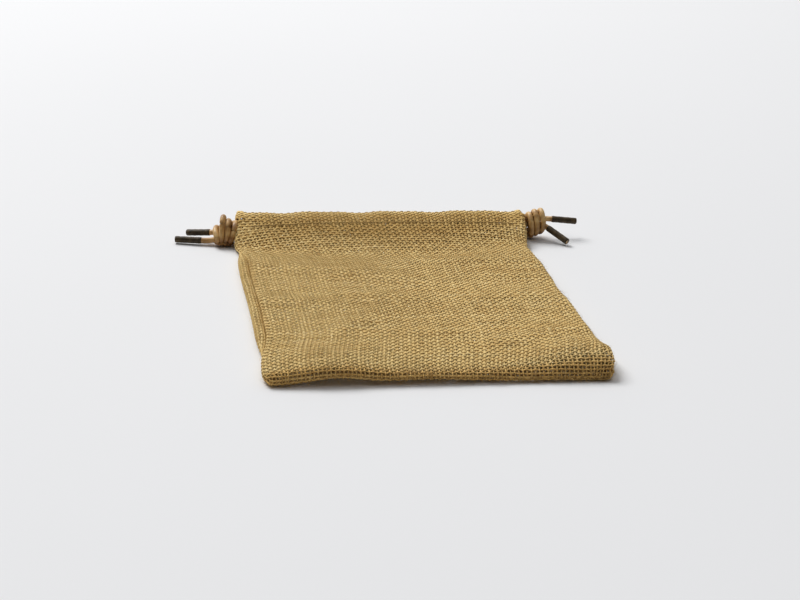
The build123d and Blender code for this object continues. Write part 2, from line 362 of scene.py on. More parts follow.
def surface(sheet, a, s):
    """Points in the middle of the cloth's thickness, at a across and s along it."""
    a, s = np.broadcast_arrays(np.asarray(a, float), np.asarray(s, float))
    end, nose_place, start_y, nose, arc = bottom_fold(sheet, a)
    radius = mix(MOUTH_FOLD[sheet], CORNER_FOLD, near_corner(a))
    turn_y = MOUTH_Y - CLOTH_HALF - radius
    to_turn = TO_MOUTH - radius
    past = s - to_turn
    turn = np.clip(past / radius, 0, pi)
    back = np.maximum(past - pi * radius, 0)
    flat_y = start_y + (s - arc) * (turn_y - start_y) / (to_turn - arc)
    y = np.where(past < 0, np.maximum(flat_y, start_y), turn_y - back)
    x, z = outer(sheet, a, y)
    deep = mix(HEM_CLOSED, 2 * radius, smooth(CASING_Y + 1.5, CASING_Y + 6.5, y))
    drop = np.where(back > 0, np.minimum(deep, 2 * radius), radius * (1 - np.cos(turn)))
    in_x, in_z = inward(sheet, a, y)
    x, z = x + in_x * drop, z + in_z * drop
    y = y + radius * np.sin(turn)

    angle = pi / 2 * np.clip(1 - s / arc, -0.1, 1.1)
    folding = s < arc
    x = np.where(folding, mix(nose_place[0], end[0], np.cos(angle)), x)
    z = np.where(folding, mix(nose_place[1], end[1], np.cos(angle)), z)
    y = np.where(folding, start_y - nose * np.sin(angle), y)
    sideways = smooth(HALF_WIDTH - 12, HALF_WIDTH, np.abs(x))
    forwards = np.clip((BOTTOM_Y + 8 - y) / 8, 0, 1) ** 2
    x = x - np.sign(x) * CORNER_ROUND * sideways * forwards
    return open_eyelets(np.stack([x, y, z], axis=-1))


def along_at(y):
    """Distance along the cloth, from the fold, of the outer layer at that Y near the mouth."""
    return TO_MOUTH - (MOUTH_Y - CLOTH_HALF - y)


# -------- where the cords run
CORD_DIA = 2.8
LANE_Y = {"left": MOUTH_Y - 10.5, "right": MOUTH_Y - 6.5}
FRONT_CORD_Z = (CASING_LOW[2] + CASING_HIGH[2]) / 2
BACK_CORD_Z = (BACK_CASING_LOW[2] + BACK_CASING_HIGH[2]) / 2
EYELET_RADIUS = 1.9


def open_eyelets(points):
    """Yarns moved aside where a cord comes out of the mouth's rounded end."""
    lane = np.where(points[..., 0] < 0, LANE_Y["left"], LANE_Y["right"])
    share = smooth(HALF_WIDTH - 5.5, HALF_WIDTH - 3.0, np.abs(points[..., 0]))
    moved = points.copy()
    for cord_z in (FRONT_CORD_Z, BACK_CORD_Z):
        dy, dz = moved[..., 1] - lane, moved[..., 2] - cord_z
        off = np.hypot(dy, dz) + 1e-6
        grow = mix(1, (off**3 + EYELET_RADIUS**3) ** (1 / 3) / off, share)
        moved[..., 1] = lane + dy * grow
        moved[..., 2] = np.maximum(cord_z + dz * grow, REST)
    return moved


class Lattice:
    """A cloth's middle and its outward normals, at every ring of every yarn."""

    def __init__(self, shape, a, s, side):
        step = 0.25
        a, s = a[:, None], s[None, :]
        self.points = shape(a, s)
        self.across = shape(a + step, s) - shape(a - step, s)
        along = shape(a, s + step) - shape(a, s - step)
        along[..., 1] += 1e-3  # gives the cloth a direction at a corner's very point
        self.normals = unit(side * np.cross(self.across, along))
        self.across, self.along = unit(self.across), unit(along)


def unit(v):
    """Vectors scaled to length 1."""
    return v / np.maximum(np.linalg.norm(v, axis=-1, keepdims=True), 1e-9)


# -------- meshes made of tubes
UV_TURN = 0.9  # share of a thread's texture row that goes once round it


class Tubes:
    """Closed tubes collected for one mesh."""

    def __init__(self):
        self.points, self.quads, self.quad_uvs, self.caps, self.cap_uvs = [], [], [], [], []
        self.count = 0

    def add(self, rings, along, thread):
        """One tube from its rings of points; along and thread become its texture coordinates."""
        n, sides = rings.shape[:2]
        index = self.count + np.arange(n * sides).reshape(n, sides)
        after = np.roll(index, -1, axis=1)
        corners = [index[:-1], index[1:], after[1:], after[:-1]]
        self.quads.append(np.stack(corners, axis=-1).reshape(-1, 4))
        u = np.broadcast_to(along[:, None], (n, sides))
        v = np.broadcast_to(thread + UV_TURN * np.arange(sides + 1) / sides, (n, sides + 1))
        us = [u[:-1], u[1:], u[1:], u[:-1]]
        vs = [v[:-1, :-1], v[1:, :-1], v[1:, 1:], v[:-1, 1:]]
        self.quad_uvs.append(np.stack([np.stack(us, -1), np.stack(vs, -1)], -1).reshape(-1, 2))
        for ring, end, order in ((index[0], along[0], 1), (index[-1], along[-1], -1)):
            fan = np.stack([np.full(sides - 2, ring[0]), ring[1:-1], ring[2:]], -1)
            self.caps.append(fan[:, ::order])
            self.cap_uvs.append(np.tile([end, thread], (3 * (sides - 2), 1)))
        self.points.append(rings.reshape(-1, 3))
        self.count += n * sides

    def object(self, name, material):
        """The finished object, in metres."""
        points = np.concatenate(self.points) * MM
        quads, caps = np.concatenate(self.quads), np.concatenate(self.caps)
        uvs = np.concatenate(self.quad_uvs + self.cap_uvs)
        loops = np.concatenate([quads.ravel(), caps.ravel()]).astype(np.int32)
        starts = np.concatenate([4 * np.arange(len(quads)), quads.size + 3 * np.arange(len(caps))])
        mesh = bpy.data.meshes.new(name)
        mesh.vertices.add(len(points))
        mesh.vertices.foreach_set("co", points.ravel())
        mesh.loops.add(len(loops))
        mesh.loops.foreach_set("vertex_index", loops)
        mesh.polygons.add(len(starts))
        mesh.polygons.foreach_set("loop_start", starts.astype(np.int32))
        mesh.update(calc_edges=True)
        mesh.uv_layers.new(name="thread").data.foreach_set("uv", uvs.ravel())
        mesh.polygons.foreach_set("use_smooth", np.ones(len(starts), bool))
        mesh.materials.append(material)
        return new_object(name, mesh)


def rings_round(line, normal, half_width, half_thickness, sides):
    """Rings of points round a line, flattened along the normal."""
    tangent = unit(np.gradient(line, axis=0))
    across = unit(np.cross(tangent, normal))
    normal = np.cross(across, tangent)
    angle = 2 * pi * np.arange(sides) / sides
    wide = np.broadcast_to(half_width, len(line))[:, None, None]
    thick = np.broadcast_to(half_thickness, len(line))[:, None, None]
    ring = across[:, None] * np.cos(angle)[None, :, None] * wide
    return line[:, None] + ring + normal[:, None] * np.sin(angle)[None, :, None] * thick


def thread_rings(line, radius, sides=6):
    """Rings round a line for a round thread."""
    line = np.asarray(line, float)
    tangent = unit(np.gradient(line, axis=0))
    helper = np.where(np.abs(tangent[:, 2:]) > 0.8, [[1.0, 0.0, 0.0]], [[0.0, 0.0, 1.0]])
    return rings_round(line, np.cross(tangent, helper), radius, radius, sides)


def length_along(line):
    """Distance from a line's start to each of its points."""
    return np.concatenate([[0], np.cumsum(np.linalg.norm(np.diff(line, axis=0), axis=1))])


# -------- weaving
# Each yarn's waves: two that move it sideways and three that change its thickness.
SHORTEST_WAVES = [18, 45, 7, 15, 3]
LONGEST_WAVES = [32, 90, 12, 30, 6]
YARN_LIMITS = (0.72, 1.38)  # of its thickness


class Yarn:
    """One yarn's own unevenness: slow changes of place and thickness along it."""

    def __init__(self, random):
        self.thick = 1 + 0.12 * random.standard_normal()
        self.phases = random.uniform(0, 2 * pi, 5)
        self.waves = random.uniform(SHORTEST_WAVES, LONGEST_WAVES)
        self.slub = random.uniform(0.6, 1.4)

    def wave(self, n, s):
        """One of its waves, from -1 to 1, at s along it."""
        return np.sin(2 * pi * s / self.waves[n] + self.phases[n])

    def wander(self, s):
        """How far it lies to one side."""
        return PITCH * (0.05 * self.wave(0, s) + 0.06 * self.wave(1, s))

    def fullness(self, s):
        """Its thickness, as a share of an even yarn's."""
        uneven = 0.1 * self.wave(2, s) + 0.11 * self.wave(3, s) + 0.07 * self.wave(4, s)
        return np.clip(self.thick + self.slub * uneven, *YARN_LIMITS)


def openness(sheet, a, s):
    """Thinner yarns where the bottom fold pulls the weave open, fuller ones at the mouth."""
    channel = smooth(*CHANNEL_S, s)
    corner = channel * (1 - smooth(*NEAR_SEAM_A, np.minimum(a, CUT_WIDTH - a)))
    mouth = smooth(*MOUTH_S[:2], s) * (1 - smooth(*MOUTH_S[2:], s))
    full = FULL_IN_CHANNEL * channel + FULL_AT_MOUTH * mouth + FULL_AT_CORNERS * corner
    if sheet == "back":
        return 1 + full
    fold = 1 - smooth(THIN_FROM_S, mix(*THIN_TO_S, smooth(*THIN_TO_RIGHT_A, a)), s)
    right = smooth(*RIGHT_A, a) * (1 - smooth(*RIGHT_S, s)) * (1 - fold)
    return 1 + full - THIN_AT_FOLD * fold + FULL_ON_RIGHT * right


def yarn_rings(points, aside, normals, height, fullness):
    """Rings of one yarn that weaves to that height over and under the cloth's middle."""
    line = points + aside + normals * height[:, None]
    line[:, 2] = np.maximum(line[:, 2], YARN_HALF_THICKNESS * fullness + 0.02)
    width = YARN_HALF_WIDTH * fullness
    return rings_round(line, normals, width, YARN_HALF_THICKNESS * np.sqrt(fullness), SIDES)


def add_spans(pieces, rings, along, thread, spans):
    """A yarn's rings, cut at ring numbers, into one piece after another."""
    for piece, start, end in spans:
        if end - start > 1:
            pieces[piece].add(rings[start : end + 1], along[start : end + 1], thread)


def weave_sheet(sheet, pieces, thread):
    """The front or back cloth, with its hem, into its four pieces."""
    random = np.random.default_rng(WEAVE_SEED[sheet])
    parity, side = (0, 1) if sheet == "front" else (1, -1)
    radius = MOUTH_FOLD[sheet]
    full_s = TO_MOUTH - radius + pi * radius + (MOUTH_Y - CLOTH_HALF - radius - HEM_END_Y)
    corner_s = TO_MOUTH - CORNER_FOLD + pi * CORNER_FOLD + CORNER_HEM
    wefts = int(full_s / PITCH)
    a = (np.arange(WARPS * RINGS) + 0.5) * PITCH / RINGS
    s = np.append(0, (np.arange(wefts * RINGS) + 0.5) * PITCH / RINGS)
    cloth = Lattice(partial(surface, sheet), a, s, side)
    middle_weft = int(TO_MOUTH / 2 / PITCH)
    for j in range(WARPS):
        yarn = Yarn(random)
        i = RINGS * j + RINGS // 2
        height = WARP_CRIMP * np.cos(pi * (s / PITCH - 0.5) + pi * (j + parity))
        aside = cloth.across[i] * yarn.wander(s)[:, None]
        full = WARP_FULLNESS * yarn.fullness(s) * openness(sheet, a[i], s)
        rings = yarn_rings(cloth.points[i], aside, cloth.normals[i], height, full)
        half = "left" if j <= WARPS // 2 else "right"
        cut = middle_weft * RINGS
        short = min(a[i], CUT_WIDTH - a[i]) < HEM_INSET
        last = int(corner_s / PITCH * RINGS) if short else len(s) - 1
        add_spans(pieces, rings, s, thread, [(f"{half}_bottom", 0, cut), (f"{half}_mouth", cut, last)])
        thread += 1
    for k in range(wefts):
        yarn = Yarn(random)
        m = RINGS * k + RINGS // 2 + 1
        height = -WEFT_CRIMP * np.cos(pi * (a / PITCH - 0.5) + pi * (k + parity))
        aside = cloth.along[:, m] * yarn.wander(a)[:, None]
        full = WEFT_FULLNESS * yarn.fullness(a) * openness(sheet, a, s[m])
        rings = yarn_rings(cloth.points[:, m], aside, cloth.normals[:, m], height, full)
        place = "bottom" if k < middle_weft else "mouth"
        first = int(HEM_INSET / PITCH * RINGS) if s[m] > corner_s else 0
        cut = len(a) // 2
        spans = [(f"left_{place}", first, cut), (f"right_{place}", cut, len(a) - 1 - first)]
        add_spans(pieces, rings, a, thread, spans)
        thread += 1
    return thread, cloth


# -------- the turned-in edges
def allowance(side, layer):
    """A seam's turned-in edge: a surface from the seam inwards and along Y."""
    seam_a = 0.0 if side < 0 else CUT_WIDTH

    def shape(b, y):
        b, y = np.broadcast_arrays(np.asarray(b, float), np.asarray(y, float))
        x, z = outer("front", np.full_like(y, seam_a), y)
        rise = ALLOWANCE_RISE * rolled(y) * smooth(0, 2.5, b) if side > 0 else 0.0
        z = z + layer * CLOTH_HALF * smooth(-0.5, 1.5, b) + rise
        return np.stack([x - side * (0.5 + b), y, z], axis=-1)

    return shape


def weave_allowance(side, tubes, thread):
    """The two layers of one seam allowance."""
    random = np.random.default_rng(ALLOWANCE_SEED + side)
    b = (np.arange(int(SEAM_ALLOWANCE / PITCH) * RINGS) + 0.5) * PITCH / RINGS
    rows = int((CASING_Y - 2 - ALLOWANCE_LOW_Y) / PITCH)
    y = ALLOWANCE_LOW_Y + (np.arange(rows * RINGS) + 0.5) * PITCH / RINGS
    for layer in (-1, 1):
        cloth = Lattice(allowance(side, layer), b, y, -side * layer)
        for j in range(len(b) // RINGS):
            yarn = Yarn(random)
            i = RINGS * j + RINGS // 2
            height = WARP_CRIMP * np.cos(pi * (y - y[0]) / PITCH - pi / 3 + pi * j)
            aside = cloth.across[i] * yarn.wander(y)[:, None]
            rings = yarn_rings(cloth.points[i], aside, cloth.normals[i], height, yarn.fullness(y))
            tubes.add(rings, y, thread)
            thread += 1
        for k in range(rows):
            yarn = Yarn(random)
            m = RINGS * k + RINGS // 2
            height = -WEFT_CRIMP * np.cos(pi * (b - b[0]) / PITCH - pi / 3 + pi * k)
            rings = yarn_rings(cloth.points[:, m], 0, cloth.normals[:, m], height, yarn.fullness(b))
            tubes.add(rings, b, thread)
            thread += 1
    return thread


# -------- sewing threads
def stitch_line(shape, first, second, side, raised):
    """One stitch on a surface, from one place on it to another, with its ends in the cloth."""
    share = np.linspace(0, 1, 9)
    a, s = mix(first[0], second[0], share), mix(first[1], second[1], share)
    step = 0.25
    da, ds = shape(a + step, s) - shape(a - step, s), shape(a, s + step) - shape(a, s - step)
    normal = unit(side * np.cross(da, ds))
    return shape(a, s) + normal * (raised * np.sin(pi * share) ** 0.5)[:, None]


def casing_stitches(half, tubes):
    """The rows that hold the hems down, on the front's outer face and the back's inner face."""
    s = along_at(STITCH_ROW_Y)
    count = int((CUT_WIDTH / 2 - HEM_INSET) / STITCH_PITCH)
    for sheet in ("front", "back"):
        for n in range(count):
            a = CUT_WIDTH / 2 - (n + 1) * STITCH_PITCH
            a = a if half == "left" else CUT_WIDTH - a - STITCH_LENGTH
            ends = ((a, s), (a + STITCH_LENGTH, s))
            line = stitch_line(partial(surface, sheet), *ends, 1, CLOTH_HALF + 0.05)
            tubes.add(thread_rings(line, THREAD_RADIUS), length_along(line), n)


def seam_stitches(side, tubes):
    """The rows of the side seam, on both faces of the turned-in edges."""
    rows = int((CASING_Y - 3 - ALLOWANCE_LOW_Y) / STITCH_PITCH)
    for layer in (-1, 1):
        shape = allowance(side, layer)
        for n in range(rows):
            y = ALLOWANCE_LOW_Y + 0.5 + n * STITCH_PITCH
            ends = ((SEAM_ROW_IN, y), (SEAM_ROW_IN, y + STITCH_LENGTH))
            line = stitch_line(shape, *ends, -side * layer, CLOTH_HALF + 0.1)
            tubes.add(thread_rings(line, THREAD_RADIUS), length_along(line), n)


def overlock(side, tubes):
    """Thread bound round the raw edges of one seam allowance, one slanting loop after another."""
    top, low = allowance(side, 1), allowance(side, -1)
    rows = int((CASING_Y - 3 - ALLOWANCE_LOW_Y) / OVERLOCK_PITCH)
    for n in range(rows):
        y = ALLOWANCE_LOW_Y + 1 + n * OVERLOCK_PITCH
        share = np.linspace(0, 1, 7)
        b = mix(SEAM_ALLOWANCE - OVERLOCK_REACH, SEAM_ALLOWANCE - 0.6, share)
        upper = top(b, y + share * OVERLOCK_SLANT) + [0, 0, CLOTH_HALF + 0.1]
        lower = low(b[::-1], y + (1 + share) * OVERLOCK_SLANT) - [0, 0, CLOTH_HALF + 0.1]
        edge = (upper[-1] + lower[0]) / 2 - [side * 0.7, 0, 0]
        line = np.concatenate([upper, [edge], lower])
        tubes.add(thread_rings(line, THREAD_RADIUS), length_along(line), n)


# -------- loose fibres
def grow_fuzz(sheet, cloth, count, fuzz):
    """Fine curved fibres that stand out of the cloth, into the left and right pieces."""
    random = np.random.default_rng(FIBRE_SEED[sheet])
    last_across, last_along = cloth.points.shape[0] - 1, cloth.points.shape[1] - 1
    share = np.linspace(0, 1, 5)[:, None]
    for n in range(count):
        i = int(random.integers(0, last_across))
        m = int(random.integers(0, int(last_along * 0.88)))
        if random.random() < 0.3:
            m = int(abs(random.normal(0, 6)))
        turn, lift, bend, length = random.uniform([0, 0.1, -1.4, 0.8], [2 * pi, 0.8, 1.4, 3.8])
        across, along, normal = cloth.across[i, m], cloth.along[i, m], cloth.normals[i, m]
        ahead = across * cos(turn) + along * sin(turn)
        aside = along * cos(turn) - across * sin(turn)
        curl = aside * bend * share**2 + ahead * share + normal * lift * share * (1.25 - share)
        line = cloth.points[i, m] + normal * CLOTH_HALF * 0.6 + curl * length
        line[:, 2] = np.maximum(line[:, 2], 0.08)
        half = "left" if i < last_across / 2 else "right"
        fuzz[half].add(thread_rings(line, FIBRE_RADIUS * (1.1 - 0.5 * share[:, 0]), 3), share[:, 0], n)


# -------- materials
def new_material(name, roughness):
    """A principled material and its node tree."""
    material = bpy.data.materials.new(name)
    material.use_nodes = True
    shader = material.node_tree.nodes["Principled BSDF"]
    shader.inputs["Roughness"].default_value = roughness
    return material, material.node_tree, shader


def add(tree, kind, **values):
    """A shader node with its settings and its unlinked inputs."""
    node = tree.nodes.new(kind)
    for key, value in values.items():
        if key in node.inputs:
            node.inputs[key].default_value = value
        else:
            setattr(node, key, value)
    return node


def ramp(tree, factor, stops):
    """A colour ramp from places and linear colours."""
    node = tree.nodes.new("ShaderNodeValToRGB")
    elements = node.color_ramp.elements
    while len(elements) < len(stops):
        elements.new(0.5)
    for element, (place, colour) in zip(elements, stops):
        element.position = place
        element.color = (*colour, 1)
    tree.links.new(factor, node.inputs["Fac"])
    return node


def calc(tree, operation, *values):
    """A math node's result, from sockets and plain numbers."""
    node = add(tree, "ShaderNodeMath", operation=operation)
    for value, place in zip(values, node.inputs):
        if isinstance(value, float):
            place.default_value = value
        else:
            tree.links.new(value, place)
    return node.outputs[0]


def fade(tree, value, none, full):
    """0 where a value is none and 1 where it is full, with a soft start and end."""
    share = add(tree, "ShaderNodeMapRange", interpolation_type="SMOOTHSTEP")
    share.inputs["From Min"].default_value = none
    share.inputs["From Max"].default_value = full
    tree.links.new(value, share.inputs["Value"])
    return share.outputs["Result"]


def place_on(tree):
    """The X, Y and Z of each place on an object, in metres."""
    where = add(tree, "ShaderNodeTexCoord")
    split = add(tree, "ShaderNodeSeparateXYZ")
    tree.links.new(where.outputs["Object"], split.inputs[0])
    return split.outputs


def noise_over(tree, **settings):
    """Noise spread over an object."""
    where = add(tree, "ShaderNodeTexCoord")
    noise = add(tree, "ShaderNodeTexNoise", **settings)
    tree.links.new(where.outputs["Object"], noise.inputs["Vector"])
    return noise.outputs["Fac"]


def roughen(tree, shader, height, strength, distance):
    """Fine bumps on a material's surface."""
    bump = add(tree, "ShaderNodeBump", Strength=strength, Distance=distance)
    tree.links.new(height, bump.inputs["Height"])
    tree.links.new(bump.outputs[0], shader.inputs["Normal"])


def share_between(tree, axis, full, none):
    """1 up to one place along an axis, fading to 0 at another, in millimetres."""
    return fade(tree, place_on(tree)[axis], none * MM, full * MM)


# Colours are multiplied by these tones, each of which paints in shade.
CHANNEL_SHADE_TONE = (0.75, 0.68, 0.56)  # painted shade on the cloth over the channel, where it is doubled and lets no light up through it
FOLD_WARM_SHADE_TONE = (1.08, 0.97, 0.80)  # painted warm shade on the open rows of the bottom fold, which makes them browner
INNER_SHADE_TONE = (0.34, 0.26, 0.18)  # painted shade on the yarns' inner sides there, in the closed dark of the pouch
# Painted shade near the ground: lighter on the drawstrings and tails, deeper on the knots.
CORD_GROUND_SHADE_TONE = (0.80, 0.72, 0.62)
KNOT_GROUND_SHADE_TONE = (0.66, 0.54, 0.42)


def channel_shade_share(tree):
    """Where painted shade goes over the channel: 1 where the cloth is doubled round it, 0 elsewhere and
    at the mouth's edge.
    """
    place = place_on(tree)
    out = calc(tree, "POWER", calc(tree, "ABSOLUTE", place["X"]), 2.0)
    from_foot = calc(tree, "MULTIPLY_ADD", out, -FOOT_RISE / HALF_WIDTH**2 / MM, place["Y"])
    start = fade(tree, from_foot, (FOOT_Y + 5) * MM, (FOOT_Y + 23) * MM)
    edge = fade(tree, place["Y"], (MOUTH_Y - 4) * MM, (MOUTH_Y - 9) * MM)
    return calc(tree, "MULTIPLY", start, edge)


def toned(tree, colour, tone, share):
    """A colour multiplied by a tone, as far as a share from 0 to 1 says."""
    node = add(tree, "ShaderNodeMix", data_type="RGBA", blend_type="MULTIPLY")
    node.inputs["B"].default_value = (*tone, 1)
    tree.links.new(share, node.inputs["Factor"])
    tree.links.new(colour, node.inputs["A"])
    return node.outputs["Result"]


def inner_shade_share(tree, around, near_fold):
    """Where painted shade goes: 1 on the side of a yarn that faces into the pouch, near the bottom fold
    only.
    """
    turn = calc(tree, "MULTIPLY", calc(tree, "FRACT", around), -2 * pi / UV_TURN)
    return calc(tree, "MULTIPLY", fade(tree, calc(tree, "SINE", turn), -0.1, 0.6), near_fold)


# How fast a thread's tone changes: for each millimetre along it, and from thread to thread.
SLOW_STREAKS = (0.035, 7.31, 1)
FINE_STREAKS = (0.55, 9.0, 1)


def jute_material(name, dark, mid, pale):
    """Natural jute yarn: each thread has its own tone, with streaks of fibre along it. Painted shade
    darkens it over the channel and on the yarns' inner sides near the bottom fold, and warms the fold.
    """
    material, tree, shader = new_material(name, 0.92)
    shader.inputs["Specular IOR Level"].default_value = 0.15
    link = tree.links.new
    uv = add(tree, "ShaderNodeUVMap", uv_map="thread")
    split = add(tree, "ShaderNodeSeparateXYZ")
    link(uv.outputs["UV"], split.inputs[0])
    place = add(tree, "ShaderNodeCombineXYZ")
    link(split.outputs["X"], place.inputs["X"])
    link(calc(tree, "FLOOR", split.outputs["Y"]), place.inputs["Y"])
    slow = add(tree, "ShaderNodeMapping")
    slow.inputs["Scale"].default_value = SLOW_STREAKS
    link(place.outputs[0], slow.inputs["Vector"])
    tone = add(tree, "ShaderNodeTexNoise", Scale=1.0, Detail=3.0, Roughness=0.6)
    link(slow.outputs[0], tone.inputs["Vector"])
    fine = add(tree, "ShaderNodeMapping")
    fine.inputs["Scale"].default_value = FINE_STREAKS
    link(uv.outputs["UV"], fine.inputs["Vector"])
    fibre = add(tree, "ShaderNodeTexNoise", Scale=1.0, Detail=4.0, Roughness=0.7)
    link(fine.outputs[0], fibre.inputs["Vector"])
    both = add(tree, "ShaderNodeMix", data_type="FLOAT")
    both.inputs["Factor"].default_value = 0.45
    link(tone.outputs["Fac"], both.inputs["A"])
    link(fibre.outputs["Fac"], both.inputs["B"])
    colour = ramp(tree, both.outputs["Result"], [(0.3, dark), (0.5, mid), (0.68, pale)])
    # painted shade over the channel, where the cloth is doubled
    doubled = toned(tree, colour.outputs["Color"], CHANNEL_SHADE_TONE, channel_shade_share(tree))
    # painted warm shade along the bottom fold
    fold_shade_share = share_between(tree, "Y", BOTTOM_Y + 1.5, BOTTOM_Y + 8)
    fold_shaded = toned(tree, doubled, FOLD_WARM_SHADE_TONE, fold_shade_share)
    near_fold = share_between(tree, "Y", BOTTOM_Y + 12, BOTTOM_Y + 34)
    # painted shade on the yarns' inner sides near the fold
    inner = inner_shade_share(tree, split.outputs["Y"], near_fold)
    link(toned(tree, fold_shaded, INNER_SHADE_TONE, inner), shader.inputs["Base Color"])
    roughen(tree, shader, fibre.outputs["Fac"], 0.5, 0.0001)
    return material


def cord_material(name, ground_shade_tone):
    """Smooth tan cord with a fine grain and handling marks, and painted shade that darkens it towards
    the ground.
    """
    material, tree, shader = new_material(name, 0.42)
    marks = noise_over(tree, Scale=220.0, Detail=3.0)
    stops = [(0.3, (0.32, 0.155, 0.045)), (0.5, (0.62, 0.375, 0.14)), (0.7, (0.82, 0.58, 0.26))]
    colour = ramp(tree, marks, stops).outputs["Color"]
    # painted shade: full at the ground, gone 11 mm up
    under = share_between(tree, "Z", 1, 11)
    tree.links.new(toned(tree, colour, ground_shade_tone, under), shader.inputs["Base Color"])
    roughen(tree, shader, noise_over(tree, Scale=1800.0, Detail=2.0), 0.35, 0.00008)
    return material


def tip_material():
    """Dark brown sleeve, a little worn to a lighter brown in places."""
    material, tree, shader = new_material("dark_tip", 0.55)
    shader.inputs["Specular IOR Level"].default_value = 0.3
    wear = noise_over(tree, Scale=420.0, Detail=4.0, Roughness=0.65)
    stops = [(0.35, (0.028, 0.017, 0.006)), (0.56, (0.07, 0.045, 0.017))]
    stops += [(0.78, (0.14, 0.095, 0.042))]
    tree.links.new(ramp(tree, wear, stops).outputs["Color"], shader.inputs["Base Color"])
    roughen(tree, shader, wear, 0.4, 0.0001)
    return material


JUTE = jute_material("jute_yarn", (0.46, 0.255, 0.076), (0.73, 0.52, 0.211), (0.90, 0.712, 0.364))
FUZZ = jute_material("jute_fuzz", (0.50, 0.36, 0.16), (0.60, 0.46, 0.23), (0.68, 0.55, 0.31))
THREAD = jute_material("sewing_thread", (0.40, 0.28, 0.12), (0.50, 0.36, 0.17), (0.60, 0.45, 0.23))
# The cord and knot materials are one material with lighter and deeper painted shade.
CORD = cord_material("tan_cord", CORD_GROUND_SHADE_TONE)
KNOT = cord_material("tan_knot", KNOT_GROUND_SHADE_TONE)
TIP = tip_material()

# -------- camera
CAMERA_PLACE = (-0.1282, -0.8052, 0.3028)
CAMERA_TURN = radians(-8.80)
CAMERA_DOWN = radians(20.33)
CAMERA_ROLL = radians(2.25)
CAMERA_LENS = 83.25


def make_camera():
    """The photograph's viewing angle: low, slightly from the left, with a long lens."""
    data = bpy.data.cameras.new("camera")
    data.sensor_width = 36
    data.lens = CAMERA_LENS
    data.clip_start = 0.01
    camera = new_object("camera", data)
    turn = Matrix.Rotation(CAMERA_TURN, 4, "Z") @ Matrix.Rotation(pi / 2 - CAMERA_DOWN, 4, "X")
    turn = turn @ Matrix.Rotation(CAMERA_ROLL, 4, "Z")
    camera.matrix_world = Matrix.Translation(CAMERA_PLACE) @ turn
    bpy.context.scene.camera = camera


make_camera()

# -------- the drawstrings
# Each cord's whole route in millimetres: one tail, its knot, round the channels and back.
NEAR_X = 79.0  # where the loop meets its knot
NEAR_RUN = 18.0
FAR_X = HALF_WIDTH - 6.5
BIGHT = (FRONT_CORD_Z - BACK_CORD_Z) / 2
ROUTES = {
    "left": [(-99.8, 96.0, 3.4), (-93.0, 91.9, 4.7), (-86.4, 88.0, 6.0), (-82.4, 87.6, 6.4)],
    "right": [(102.4, 93.6, 8.5), (94.0, 93.1, 9.5), (86.6, 92.6, 10.3), (83.0, 92.4, 10.4)],
}
ROUTE_ENDS = {
    "left": [(-83.0, 86.0, 3.6), (-88.0, 84.8, 2.6), (-96.5, 86.9, 2.3), (-106.0, 89.2, 2.1)],
    "right": [(81.4, 91.0, 8.4), (84.4, 89.6, 7.8), (89.6, 84.0, 5.0), (94.9, 78.4, 2.2)],
}
TIP_LENGTH = 13.5
TIP_RADIUS = 1.65


def loop_route(lane):
    """The part of a cord's route from its knot through the channels and back to the knot."""
    side = -1 if lane == "left" else 1
    y = LANE_Y[lane]
    near, far, past = side * NEAR_X, -side * (FAR_X - BIGHT), -side * (FAR_X + BIGHT)
    xs = [near, near - side * NEAR_RUN, far, past]
    front = [(x, y, FRONT_CORD_Z) for x in xs]
    return front + [(x, y, BACK_CORD_Z) for x in reversed(xs)]


def make_cord(lane):
    """One drawstring from tip to tip, as a smooth curve."""
    points = ROUTES[lane] + loop_route(lane) + ROUTE_ENDS[lane]
    curve = bpy.data.curves.new(f"{lane}_drawstring_cord", "CURVE")
    curve.dimensions = "3D"
    spline = curve.splines.new("NURBS")
    spline.points.add(len(points) - 1)
    for place, point in zip(points, spline.points):
        point.co = (*(v * MM for v in place), 1)
    spline.order_u = 3
    spline.use_endpoint_u = True
    spline.resolution_u = 16
    curve.bevel_depth = CORD_DIA / 2 * MM
    curve.bevel_resolution = 5
    curve.use_fill_caps = True
    curve.materials.append(CORD)
    return new_object(f"{lane}_drawstring_cord", curve)


def centreline(cord):
    """The points down the middle of a cord's curve, in millimetres."""
    bare = cord.data.copy()
    bare.bevel_depth = 0
    holder = bpy.data.objects.new("bare", bare)
    mesh = bpy.data.meshes.new_from_object(holder)
    line = np.array([v.co for v in mesh.vertices]) / MM
    bpy.data.objects.remove(holder)
    bpy.data.curves.remove(bare)
    bpy.data.meshes.remove(mesh)
    return line


def make_tip(name, line):
    """The dark sleeve over one end of a cord. line starts at that end."""
    along = length_along(line)
    at = np.concatenate([[0, 0.12, 0.4], np.linspace(0.8, TIP_LENGTH - 0.3, 26), [TIP_LENGTH]])
    middle = np.stack([np.interp(at, along, line[:, n]) for n in range(3)], axis=-1)
    radius = np.full(len(at), TIP_RADIUS)
    radius[:3] = TIP_RADIUS * np.array([0.80, 0.93, 0.99])  # rounded at the cord's end
    radius[-1] = TIP_RADIUS * 0.93  # and drawn in on the cord
    radius = radius + 0.03 * np.sin(at * 1.7) + 0.02 * np.sin(at * 4.1 + 1)
    tubes = Tubes()
    tubes.add(thread_rings(middle, radius, 20), at, 0)
    return tubes.object(name, TIP)


KNOT_X = {"left": -80.9, "right": 79.6}
